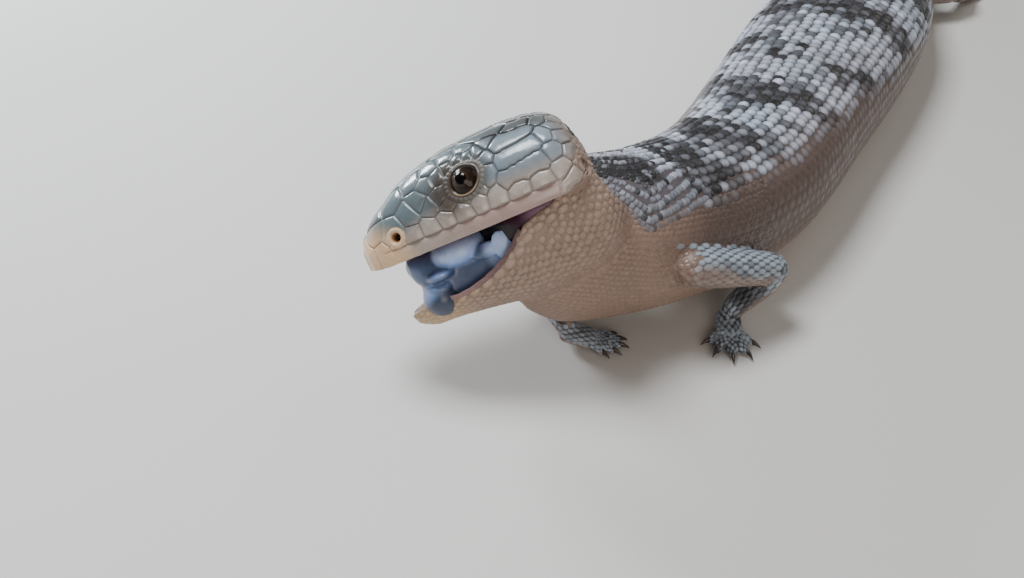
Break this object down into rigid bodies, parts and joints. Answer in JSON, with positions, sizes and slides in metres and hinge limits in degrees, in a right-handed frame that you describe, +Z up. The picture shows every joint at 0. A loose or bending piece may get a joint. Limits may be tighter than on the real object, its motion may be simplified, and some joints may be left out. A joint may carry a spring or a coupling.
{
  "type": "blue tongued skink",
  "caption": "Life-size still model of a blue tongued skink, chest raised, head turned to its right, mouth open round a folded blue tongue.",
  "frame": {"origin": "on the floor under the middle of the trunk, at the flat of the belly", "axes": "+X from the trunk towards the tail, -Y towards the animal's left, +Z up"},
  "size_m": [0.4697, 0.098, 0.0694],
  "materials": {
    "skin": "scaled hide, satin",
    "tongue": "wet, blue",
    "eye": "polished, dark brown",
    "claw": "horn, satin",
    "mouth": "wet lining, dark pink to purple"
  },
  "bodies": {
    "root": {"head": "skin", "lower_jaw": "skin", "neck": "skin", "torso": "skin", "tail_base": "skin", "tail_middle": "skin", "tail_tip": "skin", "foreleg_left": "skin", "foreleg_right": "skin", "hindleg_left": "skin", "hindleg_right": "skin", "forefoot_left": "skin", "forefoot_right": "skin", "hindfoot_left": "skin", "hindfoot_right": "skin", "tongue": "tongue", "eye_left": "eye", "eye_right": "eye"}
  },
  "joints": []
}
